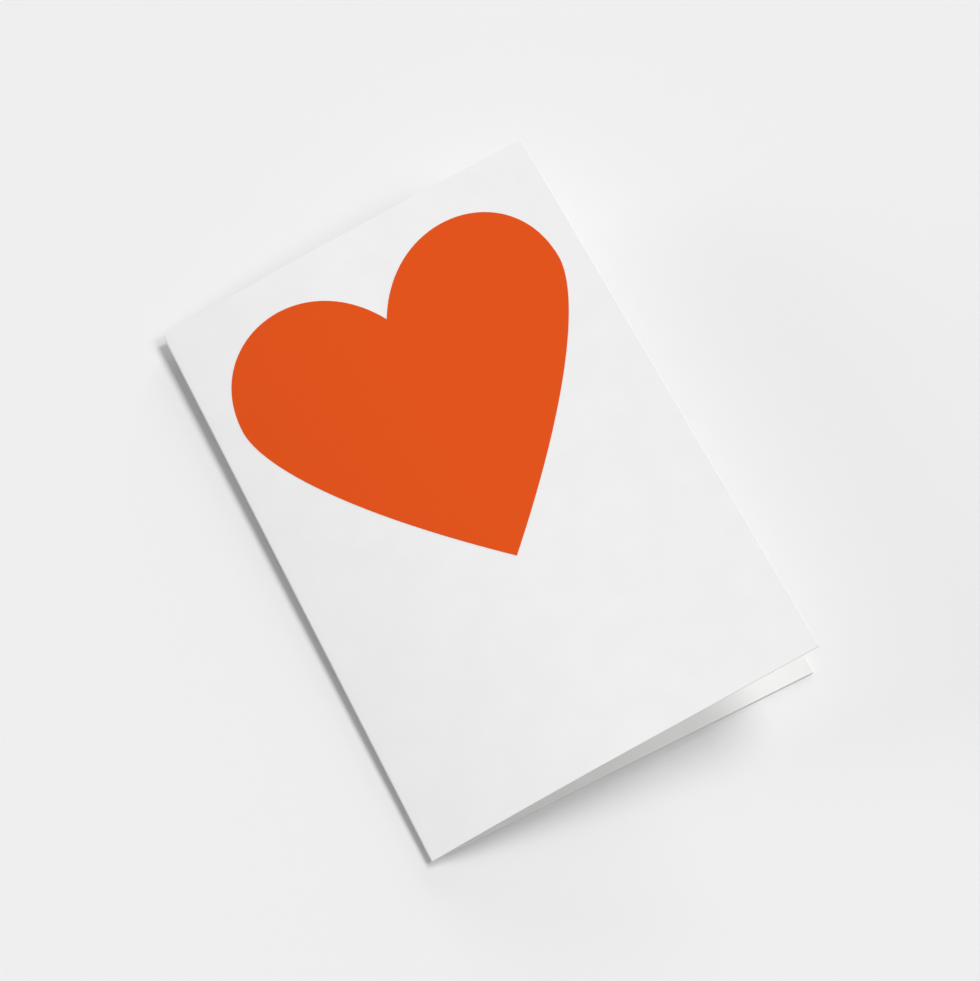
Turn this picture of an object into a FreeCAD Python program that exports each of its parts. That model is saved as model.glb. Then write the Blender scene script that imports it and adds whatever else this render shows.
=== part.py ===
import FreeCAD, Part
import math
import os
import Sketcher
from FreeCAD import Placement, Rotation, Vector

# Greeting card: one sheet of heavy white board, folded once down its left side. It lies on its back
# leaf, and a plain heart is printed on the front. The crease is sharp, but both leaves are bowed next
# to it by the board's spring, so the fold stands a little off the table and the front leaf is open.
# Millimetres and degrees. The origin is the middle of the card on the table, +X runs from the fold to
# the free edges, +Y runs along the fold to the card's top edge and +Z points up.

doc = FreeCAD.newDocument("greeting_card")

# Driving sizes, one row each: name, value, what it is
SIZES = (
    ("leaf_width", 120.0, "a leaf, from the fold's crest to its free edge"),
    ("leaf_height", 175.0, "both leaves, along the fold"),
    ("board", 0.45, "thickness of the board"),
    ("fold_radius", 0.55, "outside of the crease"),
    ("opening_angle", 10.7, "slope of the front leaf's straight stretch, degrees"),
    ("front_spring", 6.1, "turn of the front leaf's bowed stretch, degrees"),
    ("back_spring", 4.7, "turn of the back leaf's bowed stretch, degrees"),
    ("bow_radius", 565.0, "outer face of both bowed stretches"),
    ("ink", 0.06, "thickness of the printed ink"),
    ("print_shift", 0.2, "heart's axis past the middle of the leaf"),
    ("heart_line", 38.7, "heart's widest line below the card's top edge"),
    ("half_width", 52.1, "heart's axis to its widest point"),
    ("notch_rise", 8.4, "notch above the widest line"),
    ("tip_drop", 73.0, "tip below the widest line"),
    ("lobe_side", 15.5, "handle that swings the lobe out of the notch, across"),
    ("lobe_rise", 37.7, "the same handle, above the widest line"),
    ("flank_up", 30.0, "upright handle above the widest point"),
    ("flank_down", 11.9, "upright handle below the widest point"),
    ("taper_side", 36.4, "handle that draws the lower side to the tip, across"),
    ("taper_drop", 37.7, "the same handle, below the widest line"),
)

sheet = doc.addObject("Spreadsheet::Sheet", "Sizes")
for row, (name, value, meaning) in enumerate(SIZES, start=1):
    sheet.set(f"A{row}", name)
    sheet.set(f"B{row}", str(value))
    sheet.set(f"C{row}", meaning)
    sheet.setAlias(f"B{row}", name)
doc.recompute()

# Formulas that more than one feature follows: the slope at which the front leaf leaves the crease, the
# height of the crease's centre, the place where the front leaf starts, and its straight stretch
STEEPEST = "(Sizes.opening_angle + Sizes.front_spring)"
FOLD_HEIGHT = "(Sizes.bow_radius - (Sizes.bow_radius - Sizes.fold_radius) * cos(Sizes.back_spring))"
START_X = f"(Sizes.fold_radius * (1 - sin({STEEPEST})) - Sizes.leaf_width / 2)"
START_Z = f"({FOLD_HEIGHT} + Sizes.fold_radius * cos({STEEPEST}))"
STRAIGHT = "(Sizes.leaf_width - Sizes.fold_radius - Sizes.bow_radius * Sizes.front_spring * pi / 180)"
HEART_REACH = "(Sizes.leaf_width / 2 + Sizes.print_shift - Sizes.fold_radius)"


def size(name):
    """The value in the sheet's row of that name."""
    return float(getattr(sheet, name))


def new_body(label):
    body = doc.addObject("PartDesign::Body", label)
    body.Label = label
    return body


def new_sketch(body, name, role):
    """A sketch on one of its own body's origin planes."""
    sketch = body.newObject("Sketcher::SketchObject", name)
    plane = [feature for feature in body.Origin.OriginFeatures if feature.Role == role][0]
    sketch.AttachmentSupport = [(plane, "")]
    sketch.MapMode = "FlatFace"
    return sketch


def pad_both_ways(body, sketch, name, expression):
    """A pad of the sketch, the same length to each side of its plane."""
    pad = body.newObject("PartDesign::Pad", name)
    pad.Profile = sketch
    pad.Midplane = True
    pad.setExpression("Length", expression)
    return pad


def drive(sketch, name, expression, *constraint):
    """Add a dimension whose value follows an expression on the sheet."""
    index = sketch.addConstraint(Sketcher.Constraint(*constraint))
    sketch.renameConstraint(index, name)
    sketch.setExpression("Constraints." + name, expression)


def relate(sketch, *constraints):
    """Add relations between curves, which have no value of their own."""
    for constraint in constraints:
        sketch.addConstraint(Sketcher.Constraint(*constraint))


def line(sketch, start, end):
    return sketch.addGeometry(Part.LineSegment(start, end), False)


def slope_point(centre, radius, slope):
    """The point of a circle where its upper side climbs at the given slope."""
    angle = math.radians(slope)
    return centre + Vector(-math.sin(angle), math.cos(angle), 0) * radius


def slope_arc(sketch, centre, radius, flatter, steeper):
    """The arc of a circle's left side between two slopes, starting at the flatter one."""
    circle = Part.Circle(centre, Vector(0, 0, 1), radius)
    top = math.pi / 2
    arc = Part.ArcOfCircle(circle, top + math.radians(flatter), top + math.radians(steeper))
    return sketch.addGeometry(arc, False)


# Sketcher's numbers for a curve's start, end and centre, and for the horizontal and upright axes.
# The start of the horizontal axis is the sketch's origin.
START = 1
END = 2
CENTRE = 3
ACROSS = -1
UPRIGHT = -2
HALF_TURN = 180

# Where the section's points first lie, across the fold: the crease's centre, the back bow's centre far
# above the table, the start of the front leaf, its bow's centre far below, and its straight stretch
low_slope = size("opening_angle")
high_slope = low_slope + size("front_spring")
under_slope = HALF_TURN - size("back_spring")
rise = math.radians(size("back_spring"))
between_centres = size("bow_radius") - size("fold_radius")
crease_centre = Vector(
    size("fold_radius") - size("leaf_width") / 2,
    size("bow_radius") - between_centres * math.cos(rise),
    0,
)
back_centre = crease_centre + Vector(math.sin(rise), math.cos(rise), 0) * between_centres
leaf_start = slope_point(crease_centre, size("fold_radius"), high_slope)
bow_centre = slope_point(leaf_start, -size("bow_radius"), high_slope)
straight = (size("leaf_width") - size("fold_radius")
            - size("bow_radius") * math.radians(size("front_spring")))
along_leaf = Vector(math.cos(math.radians(low_slope)), math.sin(math.radians(low_slope)), 0) * straight


# The card: one folded sheet, drawn as its section across the fold and padded along it
card = new_body("card")
section = new_sketch(card, "card_section", "XZ_Plane")

outer_bow = size("bow_radius")
inner_bow = size("bow_radius") - size("board")
outer_end = slope_point(bow_centre, outer_bow, low_slope)
inner_end = slope_point(bow_centre, inner_bow, low_slope)
foot = Vector(back_centre.x, 0, 0)
back_corner = Vector(size("leaf_width") / 2, 0, 0)
through_board = Vector(0, size("board"), 0)
inner_radius = size("fold_radius") - size("board")

back_under = line(section, foot, back_corner)
back_edge = line(section, back_corner, back_corner + through_board)
back_inner = line(section, back_corner + through_board, foot + through_board)
back_bow_inner = slope_arc(section, back_centre, inner_bow, under_slope, HALF_TURN)
crease_inner = slope_arc(section, crease_centre, inner_radius, high_slope, under_slope)
bow_inner = slope_arc(section, bow_centre, inner_bow, low_slope, high_slope)
front_inner = line(section, inner_end, inner_end + along_leaf)
front_edge = line(section, inner_end + along_leaf, outer_end + along_leaf)
front_outer = line(section, outer_end + along_leaf, outer_end)
bow_outer = slope_arc(section, bow_centre, outer_bow, low_slope, high_slope)
crease_outer = slope_arc(section, crease_centre, size("fold_radius"), high_slope, under_slope)
back_bow_outer = slope_arc(section, back_centre, outer_bow, under_slope, HALF_TURN)

relate(
    section,
    ("Coincident", back_under, END, back_edge, START),
    ("Coincident", back_edge, END, back_inner, START),
    ("Tangent", back_inner, END, back_bow_inner, END),
    ("Tangent", back_bow_inner, START, crease_inner, END),
    ("Tangent", crease_inner, START, bow_inner, END),
    ("Tangent", bow_inner, START, front_inner, START),
    ("Coincident", front_inner, END, front_edge, START),
    ("Coincident", front_edge, END, front_outer, START),
    ("Tangent", front_outer, END, bow_outer, START),
    ("Tangent", bow_outer, END, crease_outer, START),
    ("Tangent", crease_outer, END, back_bow_outer, START),
    ("Tangent", back_bow_outer, END, back_under, START),
    ("Coincident", back_bow_inner, CENTRE, back_bow_outer, CENTRE),
    ("Coincident", crease_inner, CENTRE, crease_outer, CENTRE),
    ("Coincident", bow_inner, CENTRE, bow_outer, CENTRE),
    ("PointOnObject", back_under, END, ACROSS),
    ("Horizontal", back_under),
    ("Vertical", back_edge),
    ("Horizontal", back_inner),
    ("Parallel", front_inner, front_outer),
    ("Perpendicular", front_edge, front_outer),
    ("Equal", back_bow_outer, bow_outer),
)
drive(section, "back_reach", "Sizes.leaf_width / 2",
      "DistanceX", ACROSS, START, back_under, END, back_corner.x)
drive(section, "crease_reach", "Sizes.leaf_width / 2 - Sizes.fold_radius",
      "DistanceX", crease_outer, CENTRE, ACROSS, START, -crease_centre.x)
drive(section, "board", "Sizes.board", "DistanceY", back_edge, START, back_edge, END, through_board.y)
drive(section, "fold_radius", "Sizes.fold_radius", "Radius", crease_outer, size("fold_radius"))
drive(section, "fold_turn", f"{HALF_TURN} - {STEEPEST} - Sizes.back_spring",
      "Angle", crease_outer, math.radians(under_slope - high_slope))
drive(section, "bow_radius", "Sizes.bow_radius", "Radius", bow_outer, outer_bow)
drive(section, "bow_turn", "Sizes.front_spring", "Angle", bow_outer, math.radians(size("front_spring")))
drive(section, "back_turn", "Sizes.back_spring", "Angle", back_bow_outer, rise)
drive(section, "straight", STRAIGHT, "Distance", front_outer, straight)

pad_both_ways(card, section, "card_sheet", "Sizes.leaf_height")


# The ink: a thin skin over the front leaf's outer face, of which only the heart is kept
skin = new_body("ink_skin")
film = new_sketch(skin, "ink_section", "XZ_Plane")

top_bow = size("bow_radius") + size("ink")
film_end = slope_point(bow_centre, top_bow, low_slope)
film_start = slope_point(bow_centre, top_bow, high_slope)

under_bow = slope_arc(film, bow_centre, outer_bow, low_slope, high_slope)
under_leaf = line(film, outer_end, outer_end + along_leaf)
film_edge = line(film, outer_end + along_leaf, film_end + along_leaf)
over_leaf = line(film, film_end + along_leaf, film_end)
over_bow = slope_arc(film, bow_centre, top_bow, low_slope, high_slope)
fold_edge = line(film, film_start, leaf_start)

relate(
    film,
    ("Tangent", under_leaf, START, under_bow, START),
    ("Coincident", under_leaf, END, film_edge, START),
    ("Coincident", film_edge, END, over_leaf, START),
    ("Tangent", over_leaf, END, over_bow, START),
    ("Coincident", over_bow, END, fold_edge, START),
    ("Coincident", fold_edge, END, under_bow, END),
    ("Coincident", over_bow, CENTRE, under_bow, CENTRE),
    ("PointOnObject", under_bow, CENTRE, fold_edge),
    ("Parallel", over_leaf, under_leaf),
    ("Perpendicular", film_edge, under_leaf),
)
drive(film, "start_reach", f"-{START_X}", "DistanceX", under_bow, END, ACROSS, START, -leaf_start.x)
drive(film, "start_height", START_Z, "DistanceY", ACROSS, START, under_bow, END, leaf_start.y)
drive(film, "bow_radius", "Sizes.bow_radius", "Radius", under_bow, outer_bow)
drive(film, "bow_turn", "Sizes.front_spring", "Angle", under_bow, math.radians(size("front_spring")))
drive(film, "leaf_slope", "Sizes.opening_angle", "Angle", under_leaf, math.radians(low_slope))
drive(film, "straight", STRAIGHT, "Distance", under_leaf, straight)
drive(film, "ink", "Sizes.ink", "Distance", film_edge, size("ink"))

pad_both_ways(skin, film, "ink_sheet", "Sizes.leaf_height")


# The heart's outline, square to the leaf: one half, as a curve over the lobe, a curve down the lower
# side and the heart's axis, and then its mirror image. Each curve is drawn by its ends and two handles.
outline = new_body("heart_outline")
half = new_sketch(outline, "half_heart", "XY_Plane")
half.AttachmentOffset = Placement(Vector(0, 0, 0), Rotation(Vector(0, 1, 0), -low_slope))
half.setExpression("AttachmentOffset.Rotation.Angle", "-Sizes.opening_angle")
half.setExpression("AttachmentOffset.Base.x", f"{START_X} + {HEART_REACH} * cos(Sizes.opening_angle)")
half.setExpression("AttachmentOffset.Base.y", "Sizes.leaf_height / 2 - Sizes.heart_line")
half.setExpression("AttachmentOffset.Base.z", f"{START_Z} + {HEART_REACH} * sin(Sizes.opening_angle)")

CUBIC = 3
POLES = 4


def handled_curve(sketch, places):
    """A cubic curve from its first place to its last, with the numbers of its four pole circles."""
    curve = Part.BSplineCurve()
    curve.buildFromPolesMultsKnots(places, [POLES, POLES], [0.0, 1.0], False, CUBIC)
    number = sketch.addGeometry(curve, False)
    sketch.exposeInternalGeometry(number)
    return number, range(number + 1, number + 1 + POLES)


notch = Vector(0, size("notch_rise"), 0)
lobe_handle = Vector(size("lobe_side"), size("lobe_rise"), 0)
flank_handle = Vector(size("half_width"), size("flank_up"), 0)
flank = Vector(size("half_width"), 0, 0)
lower_handle = Vector(size("half_width"), -size("flank_down"), 0)
taper_handle = Vector(size("taper_side"), -size("taper_drop"), 0)
tip = Vector(0, -size("tip_drop"), 0)

lobe, lobe_poles = handled_curve(half, [notch, lobe_handle, flank_handle, flank])
side, side_poles = handled_curve(half, [flank, lower_handle, taper_handle, tip])
axis = line(half, tip, notch)
at_notch, at_lobe, over_flank, at_flank = lobe_poles
from_flank, under_flank, at_taper, at_tip = side_poles

relate(
    half,
    ("PointOnObject", at_notch, CENTRE, UPRIGHT),
    ("Vertical", over_flank, CENTRE, at_flank, CENTRE),
    ("PointOnObject", at_flank, CENTRE, ACROSS),
    ("Coincident", side, START, lobe, END),
    ("Vertical", at_flank, CENTRE, under_flank, CENTRE),
    ("PointOnObject", at_tip, CENTRE, UPRIGHT),
    ("Coincident", axis, START, side, END),
    ("Coincident", axis, END, lobe, START),
)
drive(half, "notch_rise", "Sizes.notch_rise", "DistanceY", ACROSS, START, at_notch, CENTRE, notch.y)
drive(half, "lobe_side", "Sizes.lobe_side", "DistanceX", ACROSS, START, at_lobe, CENTRE, lobe_handle.x)
drive(half, "lobe_rise", "Sizes.lobe_rise", "DistanceY", ACROSS, START, at_lobe, CENTRE, lobe_handle.y)
drive(half, "flank_up", "Sizes.flank_up", "DistanceY", ACROSS, START, over_flank, CENTRE, flank_handle.y)
drive(half, "half_width", "Sizes.half_width", "DistanceX", ACROSS, START, at_flank, CENTRE, flank.x)
drive(half, "flank_down", "Sizes.flank_down",
      "DistanceY", under_flank, CENTRE, ACROSS, START, -lower_handle.y)
drive(half, "taper_side", "Sizes.taper_side", "DistanceX", ACROSS, START, at_taper, CENTRE, taper_handle.x)
drive(half, "taper_drop", "Sizes.taper_drop", "DistanceY", at_taper, CENTRE, ACROSS, START, -taper_handle.y)
drive(half, "tip_drop", "Sizes.tip_drop", "DistanceY", at_tip, CENTRE, ACROSS, START, -tip.y)

half_column = pad_both_ways(outline, half, "half_column", "Sizes.leaf_width / 2")
doc.recompute()
whole_column = outline.newObject("PartDesign::Mirrored", "whole_column")
whole_column.Originals = [half_column]
whole_column.MirrorPlane = (half, ["V_Axis"])
outline.Tip = whole_column

heart = doc.addObject("Part::Common", "heart_print")
heart.Label = "heart_print"
heart.Base = skin
heart.Tool = outline
doc.recompute()


# Every feature has to be sound, and each piece one closed solid, before anything is written
for item in doc.Objects:
    faults = [state for state in item.State if state in ("Invalid", "Error")]
    if faults:
        raise RuntimeError(f"{item.Label} is {faults[0]}")
for sketch in (section, film, half):
    if not sketch.FullyConstrained:
        raise RuntimeError(f"{sketch.Label} is not fully constrained")

pieces = (card, heart)
for piece in pieces:
    shape = piece.Shape
    if shape.isNull() or not shape.isValid() or len(shape.Solids) != 1:
        raise RuntimeError(f"{piece.Label} is not one sound solid")

os.makedirs("parts", exist_ok=True)
for piece in pieces:
    piece.Shape.exportStep(f"parts/{piece.Label}.step")
    box = piece.Shape.BoundBox
    print(f"{piece.Label}: {piece.Shape.Volume:.1f} mm3, "
          f"X {box.XMin:.2f} to {box.XMax:.2f}, Y {box.YMin:.2f} to {box.YMax:.2f}, "
          f"Z {box.ZMin:.2f} to {box.ZMax:.2f}")
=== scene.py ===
import math

import bmesh
import bpy
from mathutils import Euler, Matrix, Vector


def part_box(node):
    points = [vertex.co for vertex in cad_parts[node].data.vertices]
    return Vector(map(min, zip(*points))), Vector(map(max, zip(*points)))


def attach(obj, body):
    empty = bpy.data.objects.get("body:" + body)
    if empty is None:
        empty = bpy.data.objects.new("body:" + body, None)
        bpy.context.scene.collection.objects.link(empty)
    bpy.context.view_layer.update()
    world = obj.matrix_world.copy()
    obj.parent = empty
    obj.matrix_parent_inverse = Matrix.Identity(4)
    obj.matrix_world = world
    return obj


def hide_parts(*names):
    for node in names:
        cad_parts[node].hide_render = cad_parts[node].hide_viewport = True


# A greeting card on a table. Metres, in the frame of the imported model: +X runs from the fold to the
# free edges, +Y along the fold to the card's top edge, +Z up, and the table is at zero.
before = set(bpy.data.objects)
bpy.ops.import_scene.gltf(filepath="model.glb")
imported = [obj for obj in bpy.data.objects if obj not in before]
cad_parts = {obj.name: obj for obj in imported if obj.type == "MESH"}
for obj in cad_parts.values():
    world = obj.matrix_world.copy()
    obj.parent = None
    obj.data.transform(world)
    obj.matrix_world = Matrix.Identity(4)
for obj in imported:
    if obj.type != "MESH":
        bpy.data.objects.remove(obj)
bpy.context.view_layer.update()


# ---- Card ----------------------------------------------------------------------------------------
# One sheet of smooth white uncoated board of about 350 g/m2, guillotined to size, scored down its
# middle and folded there. It lies on its back leaf, and its front leaf has sprung a little open.
mm = 0.001
low_corner, high_corner = (Vector(corner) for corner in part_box("card"))
leaf_width = high_corner.x - low_corner.x
leaf_height = high_corner.y - low_corner.y
board = 0.45 * mm
fold_radius = 0.55 * mm
bow_radius = 565 * mm
opening_angle = math.radians(10.7)
front_spring = math.radians(6.1)
back_spring = math.radians(4.7)
fold_rise = 1.6 * mm
wave_height = 0.12 * mm
waves_in_a_metre = 14.0
end_curl = 0.3 * mm
curl_width = 12 * mm

# The sheet and its print are drawn flat, outer face up, and then one tree of Geometry Nodes folds
# them. X of the flat drawing is the way along the outer face from the back leaf's free edge, and Z
# the height over it. On that way lie the back leaf, its bow, the crease and the front leaf's bow.
crease_turn = math.pi - back_spring - front_spring - opening_angle
back_starts = leaf_width - fold_radius - (bow_radius - fold_radius) * math.sin(back_spring)
crease_starts = back_starts + bow_radius * back_spring
front_starts = crease_starts + fold_radius * crease_turn
straight_starts = front_starts + bow_radius * front_spring
sheet_length = front_starts + leaf_width - fold_radius


def add_node(tree, kind, links=(), **settings):
    """Add a node. Settings are its properties, links pairs of an input and a socket or value."""
    node = tree.nodes.new(kind)
    for name, value in settings.items():
        setattr(node, name, value)
    for place, value in dict(links).items():
        if isinstance(value, bpy.types.NodeSocket):
            tree.links.new(value, node.inputs[place])
        else:
            node.inputs[place].default_value = value
    return node


def named_inputs(tree, sizes):
    """Give a tree of Geometry Nodes its geometry sockets and a named input for each size."""
    tree.interface.new_socket("Geometry", in_out="INPUT", socket_type="NodeSocketGeometry")
    tree.interface.new_socket("Geometry", in_out="OUTPUT", socket_type="NodeSocketGeometry")
    for name, value in sizes.items():
        socket = tree.interface.new_socket(name, in_out="INPUT", socket_type="NodeSocketFloat")
        socket.default_value = value
    return add_node(tree, "NodeGroupInput").outputs


def folding_tree(outer_material, inner_material, edge_material_with_painted_shade):
    """Fold a flat drawing into the card, and give it the materials of its faces and cut edges."""
    tree = bpy.data.node_groups.new("Fold the sheet", "GeometryNodeTree")
    size = named_inputs(tree, {
        "Free edge": high_corner.x,
        "Back bow starts": back_starts,
        "Crease starts": crease_starts,
        "Front bow starts": front_starts,
        "Straight starts": straight_starts,
        "Crease radius": fold_radius,
        "Bow radius": bow_radius,
        "Back bow turn": back_spring,
        "Crease turn": crease_turn,
        "Front bow turn": front_spring,
        "Slope of the fold": fold_rise / leaf_height,
        "Half of the height": high_corner.y,
        "Curl of the ends starts": high_corner.y - curl_width,
        "Curl of the ends": end_curl,
        "Wave height": wave_height,
        "Waves in a metre": waves_in_a_metre,
    })

    def maths(operation, first, second, kind="ShaderNodeMath"):
        return add_node(tree, kind, [(0, first), (1, second)], operation=operation).outputs[0]

    def vectors(operation, first, second):
        return maths(operation, first, second, "ShaderNodeVectorMath")

    def scaled(vector, length):
        links = [("Vector", vector), ("Scale", length)]
        return add_node(tree, "ShaderNodeVectorMath", links, operation="SCALE").outputs[0]

    def turned(vector, angle):
        links = [("Vector", vector), ("Angle", angle)]
        return add_node(tree, "ShaderNodeVectorRotate", links, rotation_type="Y_AXIS").outputs[0]

    def grown(value, start, end, most):
        """What a turn or a height has grown to at a place between its start and its end."""
        links = [("Value", value), ("From Min", start), ("From Max", end), ("To Max", most)]
        return add_node(tree, "ShaderNodeMapRange", links).outputs[0]

    position = add_node(tree, "GeometryNodeInputPosition").outputs[0]
    flat = add_node(tree, "ShaderNodeSeparateXYZ", [("Vector", position)]).outputs
    along = flat["X"]

    # In the flat drawing, inner faces point down and those of the cut edge point sideways
    normal = add_node(tree, "GeometryNodeInputNormal").outputs[0]
    upright = add_node(tree, "ShaderNodeSeparateXYZ", [("Vector", normal)]).outputs["Z"]
    steepness = 0.6
    marked = tree.nodes.new("GeometryNodeCaptureAttribute")
    marked.domain = "FACE"
    tree.links.new(size["Geometry"], marked.inputs["Geometry"])
    for name, test in (
        ("Inner face", maths("LESS_THAN", upright, -steepness)),
        ("Cut edge", maths("LESS_THAN", maths("ABSOLUTE", upright, 0.0), steepness)),
    ):
        marked.capture_items.new("BOOLEAN", name)
        tree.links.new(test, marked.inputs[name])

    # The front leaf isn't quite flat: it has slight waves, which start at the fold
    over_sheet = add_node(tree, "ShaderNodeCombineXYZ", [("X", along), ("Y", flat["Y"])]).outputs[0]
    noise = add_node(tree, "ShaderNodeTexNoise", [
        ("Vector", over_sheet),
        ("Scale", size["Waves in a metre"]),
        ("Detail", 1.0),
    ]).outputs[0]
    reach = grown(along, size["Front bow starts"], size["Straight starts"], size["Wave height"])
    height = maths("ADD", flat["Z"], maths("MULTIPLY", maths("SUBTRACT", noise, 0.5), reach))

    # Each bend turns the way in which the outer face points, and moves the sheet round its arc
    lying = maths("MINIMUM", along, size["Back bow starts"])
    on_table = add_node(tree, "ShaderNodeCombineXYZ", [
        ("X", maths("SUBTRACT", size["Free edge"], lying)),
        ("Y", flat["Y"]),
    ]).outputs[0]
    folded = on_table
    outward = (0.0, 0.0, -1.0)
    for start, end, turn, radius in (
        ("Back bow starts", "Crease starts", "Back bow turn", "Bow radius"),
        ("Crease starts", "Front bow starts", "Crease turn", "Crease radius"),
        ("Front bow starts", "Straight starts", "Front bow turn", "Bow radius"),
    ):
        before = outward
        outward = turned(before, grown(along, size[start], size[end], size[turn]))
        folded = vectors("ADD", folded, scaled(vectors("SUBTRACT", outward, before), size[radius]))

    steepest = maths("ADD", size["Back bow turn"], size["Crease turn"])
    forward = turned((-1.0, 0.0, 0.0), maths("ADD", steepest, size["Front bow turn"]))
    straight = maths("MAXIMUM", maths("SUBTRACT", along, size["Straight starts"]), 0.0)
    folded = vectors("ADD", folded, scaled(forward, straight))
    folded = vectors("ADD", folded, scaled(outward, height))

    # The fold lies higher at its top end than at its bottom end. That dies out along both bows
    risen = grown(along, size["Back bow starts"], size["Crease starts"], 1.0)
    fallen = grown(along, size["Front bow starts"], size["Straight starts"], 1.0)
    share = maths("SUBTRACT", maths("MULTIPLY", risen, risen), fallen)
    lift = maths("MULTIPLY", share, maths("MULTIPLY", flat["Y"], size["Slope of the fold"]))

    # Both ends of the back leaf stand a hair off the table, so that a thin dark line shows there
    from_middle = maths("ABSOLUTE", flat["Y"], 0.0)
    ending = grown(from_middle, size["Curl of the ends starts"], size["Half of the height"], 1.0)
    full_curl = maths("MULTIPLY", maths("SUBTRACT", 1.0, risen), size["Curl of the ends"])
    curl = maths("MULTIPLY", maths("MULTIPLY", ending, ending), full_curl)
    folded = vectors("ADD", folded, scaled((0.0, 0.0, 1.0), maths("ADD", lift, curl)))

    moved = add_node(tree, "GeometryNodeSetPosition", [
        ("Geometry", marked.outputs["Geometry"]),
        ("Position", folded),
    ]).outputs[0]
    real = add_node(tree, "GeometryNodeRealizeInstances", [("Geometry", moved)]).outputs[0]
    dressed = add_node(tree, "GeometryNodeSetMaterial", [
        ("Geometry", real),
        ("Material", outer_material),
    ]).outputs[0]
    for name, material in (("Inner face", inner_material), ("Cut edge", edge_material_with_painted_shade)):
        dressed = add_node(tree, "GeometryNodeSetMaterial", [
            ("Geometry", dressed),
            ("Selection", marked.outputs[name]),
            ("Material", material),
        ]).outputs[0]
    add_node(tree, "NodeGroupOutput", [("Geometry", dressed)])
    return tree


def put_in_scene(name, data):
    """Make an object of a mesh, a curve, a lamp or a camera, and put it into the scene."""
    placed = bpy.data.objects.new(name, data)
    bpy.context.scene.collection.objects.link(placed)
    return placed


# The crease and the bows turn by less than this from one column to the next, a cut edge by more
smooth_below = math.radians(10)


def finished(drawing, name, *materials):
    """Fold a flat drawing and turn it, with its modifiers, into a plain mesh piece of that name."""
    folding = drawing.modifiers.new("Fold", "NODES")
    folding.node_group = folding_tree(*materials)
    bpy.context.view_layer.update()
    solid = drawing.evaluated_get(bpy.context.evaluated_depsgraph_get())
    mesh = bpy.data.meshes.new_from_object(solid)
    bpy.data.objects.remove(drawing)
    mesh.name = name
    for polygon in mesh.polygons:
        polygon.use_smooth = True
    mesh.set_sharp_from_angle(angle=smooth_below)
    return put_in_scene(name, mesh)


def hex_colour(text):
    """A colour written as sRGB hex, in the linear values that a shader takes."""
    parts = [int(text[i:i + 2], 16) / 255 for i in (1, 3, 5)]
    linear = [p / 12.92 if p <= 0.04045 else ((p + 0.055) / 1.055) ** 2.4 for p in parts]
    return (*linear, 1.0)


def new_material(name, roughness, gloss):
    """A material with its Principled shader, and the object coordinates that its patterns read."""
    material = bpy.data.materials.new(name)
    material.use_nodes = True
    tree = material.node_tree
    shader = tree.nodes["Principled BSDF"]
    shader.inputs["Roughness"].default_value = roughness
    shader.inputs["Specular IOR Level"].default_value = gloss
    coordinates = add_node(tree, "ShaderNodeTexCoord").outputs["Object"]
    return material, tree, shader, coordinates


# The real tooth is about a third of this and too fine to show, so it is drawn coarser
tooth_size = 0.45 * mm
cloud_size = 9 * mm
relief_depth = 0.03 * mm


def tone_and_relief(tree, shader, tone_pattern, spread, colours, relief_pattern, strength):
    """Colour a surface between two tones by one pattern, and raise it slightly by another."""
    tone = add_node(tree, "ShaderNodeValToRGB", [("Fac", tone_pattern)])
    for element, position, colour in zip(tone.color_ramp.elements, spread, colours):
        element.position = position
        element.color = hex_colour(colour)
    relief = add_node(tree, "ShaderNodeBump", [
        ("Height", relief_pattern), ("Strength", strength), ("Distance", relief_depth),
    ]).outputs[0]
    tree.links.new(tone.outputs["Color"], shader.inputs["Base Color"])
    tree.links.new(relief, shader.inputs["Normal"])


def board_face(name, roughness, gloss, tooth_strength, dark, light):
    """A face of the board: pressed fibres leave a fine tooth, and a faint cloudiness of tone."""
    material, tree, shader, coordinates = new_material(name, roughness, gloss)
    tooth = add_node(tree, "ShaderNodeTexNoise", [
        ("Vector", coordinates), ("Scale", 1 / tooth_size), ("Detail", 3.0), ("Roughness", 0.6),
    ]).outputs["Fac"]
    clouds = add_node(tree, "ShaderNodeTexNoise", [
        ("Vector", coordinates), ("Scale", 1 / cloud_size), ("Detail", 2.0),
    ]).outputs["Fac"]
    tone_and_relief(tree, shader, clouds, (0.35, 0.65), (dark, light), tooth, tooth_strength)
    return material


# The outside was pressed smooth for the print, which makes it even. The inside wasn't, and it is
# painted a shade darker than the outside: painted shade for the inside of the card, under the front
# leaf
outer_face = board_face("Smooth outside of the board", 0.8, 0.2, 0.1, "#f9f9f9", "#fbfbfb")
inner_face_painted_darker = board_face("Inside of the board, painted darker as shade", 0.95, 0.05, 0.2, "#ebebea", "#ededec")

# The cut edge of the same board, with raw fibres in thin layers that run along it. It is painted
# greyer than the faces, partly for the raw fibres and partly as painted shade for the thin dark line
# along the back leaf's near edge. The layers have their real size, as the whole edge is hardly wider
# than a pixel
edge_material_with_painted_shade, tree, shader, coordinates = new_material("Cut edge of the board, greyed partly as painted shade", 0.95, 0.05)
layer = 0.05 * mm
fibre = 1.2 * mm
fibres = add_node(tree, "ShaderNodeMapping", [
    ("Vector", coordinates), ("Scale", (1 / fibre, 1 / fibre, 1 / layer)),
]).outputs[0]
streaks = add_node(tree, "ShaderNodeTexNoise", [
    ("Vector", fibres), ("Scale", 1.0), ("Detail", 3.0),
]).outputs["Fac"]
tone_and_relief(tree, shader, streaks, (0.3, 0.7), ("#cbcac8", "#dad9d7"), streaks, 0.4)

# The flat sheet: columns across the fold, close together round it, and rows along it. A narrow
# column and row beside each cut edge keep the softening of the edge off the rest of the face.
cut_softness = 0.08 * mm
beside_edge = 0.25 * mm
column_step = 2 * mm
row_step = 2.5 * mm
crease_columns = 24


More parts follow.
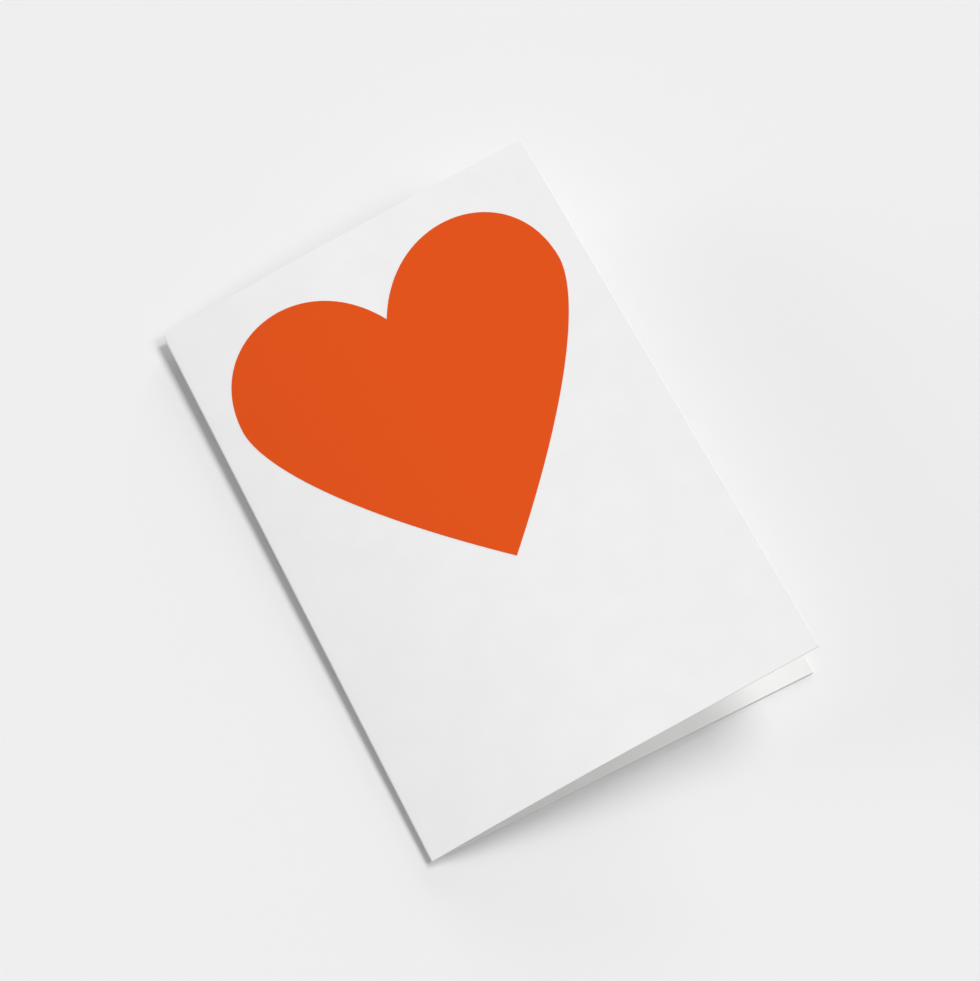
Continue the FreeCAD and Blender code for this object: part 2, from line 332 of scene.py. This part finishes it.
def places_between(start, end, step):
    """Even places from start up to end, end left out, about a step apart."""
    count = max(1, round((end - start) / step))
    return [start + (end - start) * i / count for i in range(count)]


columns = [0.0]
columns += places_between(beside_edge, back_starts, column_step)
columns += places_between(back_starts, crease_starts, column_step)
crease_step = (front_starts - crease_starts) / crease_columns
columns += places_between(crease_starts, front_starts, crease_step)
columns += places_between(front_starts, straight_starts, column_step)
columns += places_between(straight_starts, sheet_length - beside_edge, column_step)
columns += [sheet_length - beside_edge, sheet_length]
rows = [low_corner.y]
rows += places_between(low_corner.y + beside_edge, high_corner.y - beside_edge, row_step)
rows += [high_corner.y - beside_edge, high_corner.y]

corners = [(x, y, 0.0) for y in rows for x in columns]
in_row = len(columns)
faces = [
    (first, first + 1, first + in_row + 1, first + in_row)
    for row in range(len(rows) - 1)
    for first in range(row * in_row, row * in_row + in_row - 1)
]
flat_sheet = bpy.data.meshes.new("flat_sheet")
flat_sheet.from_pydata(corners, [], faces)
sheet = put_in_scene("flat_sheet", flat_sheet)
thickness = sheet.modifiers.new("Board", "SOLIDIFY")
thickness.thickness = board
thickness.offset = -1
softening = sheet.modifiers.new("Soft cut edges", "BEVEL")
softening.width = cut_softness
softening.segments = 3
softening.limit_method = "ANGLE"
softening.angle_limit = math.radians(60)

card = finished(sheet, "folded_card", outer_face, inner_face_painted_darker, edge_material_with_painted_shade)
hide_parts("card")
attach(card, "root")


# ---- Printed heart -------------------------------------------------------------------------------
# One flat colour of ink, screen printed on the outer face of the sheet before it was folded. The
# outline is two curves a side, and their handles are the ones that the solid of the print has.
ink = 0.06 * mm
ink_soaks_in = 0.02 * mm
print_shift = 0.2 * mm
heart_line = 38.7 * mm
half_width = 52.1 * mm
notch_rise = 8.4 * mm
tip_drop = 73.0 * mm
lobe_side = 15.5 * mm
lobe_rise = 37.7 * mm
flank_up = 30.0 * mm
flank_down = 11.9 * mm
taper_side = 36.4 * mm
taper_drop = 37.7 * mm

# Matte screen ink: it lies in the tooth of the board, hardly shines and is even in tone. Its grain
# is drawn coarser than it is, as the tooth is
ink_material, tree, shader, coordinates = new_material("Matte orange screen ink", 0.85, 0.08)
grain_size = 0.6 * mm
tooth = add_node(tree, "ShaderNodeTexNoise", [
    ("Vector", coordinates), ("Scale", 1 / tooth_size), ("Detail", 3.0), ("Roughness", 0.6),
]).outputs["Fac"]
grain = add_node(tree, "ShaderNodeTexNoise", [
    ("Vector", coordinates), ("Scale", 1 / grain_size), ("Detail", 4.0), ("Roughness", 0.7),
]).outputs["Fac"]
tone_and_relief(tree, shader, grain, (0.3, 0.7), ("#eb561a", "#ed581c"), tooth, 0.08)

# Each point with its handle before it and its handle after it: notch, right side, tip, left side
heart_points = (
    ((0, notch_rise), (-lobe_side, lobe_rise), (lobe_side, lobe_rise)),
    ((half_width, 0), (half_width, flank_up), (half_width, -flank_down)),
    ((0, -tip_drop), (taper_side, -taper_drop), (-taper_side, -taper_drop)),
    ((-half_width, 0), (-half_width, -flank_down), (-half_width, flank_up)),
)
steps_in_a_curve = 48
heart_x = front_starts + leaf_width / 2 + print_shift - fold_radius
heart_y = high_corner.y - heart_line
outline = bpy.data.curves.new("heart_outline", "CURVE")
outline.dimensions = "2D"
outline.fill_mode = "BOTH"
outline.resolution_u = steps_in_a_curve
spline = outline.splines.new("BEZIER")
spline.bezier_points.add(len(heart_points) - 1)
spline.use_cyclic_u = True
for point, (place, before, after) in zip(spline.bezier_points, heart_points):
    point.handle_left_type = point.handle_right_type = "FREE"
    point.co = (heart_x + place[0], heart_y + place[1], 0)
    point.handle_left = (heart_x + before[0], heart_y + before[1], 0)
    point.handle_right = (heart_x + after[0], heart_y + after[1], 0)
outline_object = put_in_scene("heart_outline", outline)
bpy.context.view_layer.update()
flat_heart = bpy.data.meshes.new_from_object(
    outline_object.evaluated_get(bpy.context.evaluated_depsgraph_get()))
bpy.data.objects.remove(outline_object)

# The filled outline is cut into strips both ways, so that it can follow the bowed leaf, and slivers
# that the cuts leave are merged
sliver = 0.05 * mm
same_place = 0.001 * mm
shape = bmesh.new()
shape.from_mesh(flat_heart)
bmesh.ops.remove_doubles(shape, verts=shape.verts, dist=same_place)
across = places_between(front_starts, sheet_length, column_step)
upward = places_between(heart_y - tip_drop, high_corner.y, row_step)
cuts = [((x, 0, 0), (1, 0, 0)) for x in across] + [((0, y, 0), (0, 1, 0)) for y in upward]
for through, direction in cuts:
    everything = shape.verts[:] + shape.edges[:] + shape.faces[:]
    bmesh.ops.bisect_plane(
        shape, geom=everything, dist=sliver, plane_co=through, plane_no=direction)
bmesh.ops.remove_doubles(shape, verts=shape.verts, dist=sliver)
bmesh.ops.dissolve_degenerate(shape, edges=shape.edges, dist=0.1 * sliver)
for face in shape.faces:
    if face.normal.z < 0:
        face.normal_flip()
bmesh.ops.translate(shape, verts=shape.verts, vec=(0, 0, ink))
shape.to_mesh(flat_heart)
shape.free()
heart = put_in_scene("flat_heart", flat_heart)
film = heart.modifiers.new("Ink", "SOLIDIFY")
film.thickness = ink + ink_soaks_in
film.offset = -1

print_film = finished(heart, "printed_heart", ink_material, ink_material, ink_material)
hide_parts("heart_print")
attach(print_film, "root")


# ---- Table, light and camera ---------------------------------------------------------------------
# A plain pale table top under large soft lamps, and pale surroundings that fill in the shadows. The
# camera looks down on the card from over its lower left side, as in the photograph.
table_colour = "#efefef"
table_reach = 3.0
table_gap = 0.01 * mm

table_material, tree, shader, coordinates = new_material("Matte pale table", 0.9, 0.0)
shader.inputs["Base Color"].default_value = hex_colour(table_colour)
plane = bpy.data.meshes.new("table")
plane.from_pydata([
    (-table_reach, -table_reach, -table_gap),
    (table_reach, -table_reach, -table_gap),
    (table_reach, table_reach, -table_gap),
    (-table_reach, table_reach, -table_gap),
], [], [(0, 1, 2, 3)])
plane.materials.append(table_material)
table = put_in_scene("table", plane)

# Each lamp's bearing on the table, height over it and width, in degrees, and its share of the light
lamps = {
    "large soft lamp": (22, 49, 25, 0.37),
    "side lamp": (-25, 46, 25, 0.22),
    "low lamp by the open side": (45, 12, 20, 0.07),
    "low lamp behind the fold": (150, 13, 24, 0.05),
}
fill_light = 0.29
for name, (bearing, height, width, share) in lamps.items():
    bearing, height, width = (math.radians(angle) for angle in (bearing, height, width))
    towards = Vector((math.cos(bearing), math.sin(bearing), math.tan(height)))
    lamp = bpy.data.lights.new(name, "SUN")
    lamp.energy = math.pi * share / math.sin(height)
    lamp.angle = width
    put_in_scene(name, lamp).rotation_euler = towards.to_track_quat("Z", "Y").to_euler()

surroundings = bpy.data.worlds.new("Pale surroundings")
surroundings.use_nodes = True
tree = surroundings.node_tree
tree.nodes.clear()
rays = add_node(tree, "ShaderNodeLightPath").outputs
seen = add_node(tree, "ShaderNodeMath", [
    (0, rays["Is Camera Ray"]), (1, rays["Is Glossy Ray"]),
], operation="MAXIMUM").outputs[0]
seen = add_node(tree, "ShaderNodeMath", [
    (0, seen), (1, rays["Is Transmission Ray"]),
], operation="MAXIMUM").outputs[0]
filling = add_node(tree, "ShaderNodeBackground", [
    ("Color", hex_colour("#ffffff")), ("Strength", fill_light),
])
backdrop = add_node(tree, "ShaderNodeBackground", [("Color", hex_colour(table_colour))])
mixed = add_node(tree, "ShaderNodeMixShader", [
    (0, seen), (1, filling.outputs[0]), (2, backdrop.outputs[0]),
])
add_node(tree, "ShaderNodeOutputWorld", [("Surface", mixed.outputs[0])])
scene = bpy.context.scene
scene.world = surroundings
scene.view_settings.view_transform = "Standard"

# The lens and the place are those from which a card of this size looks as it does in the photograph
camera_place = Vector((-129.98, -220.78, 648.49)) * mm
camera_turns = [math.radians(angle) for angle in (21.8246, -1.4939, -27.2709)]
sensor = 36.0
lens = 88.88

camera = bpy.data.cameras.new("camera")
camera.sensor_width = sensor
camera.lens = lens
camera.clip_start = 10 * mm
scene.camera = put_in_scene("camera", camera)
scene.camera.location = camera_place
scene.camera.rotation_euler = Euler(camera_turns)
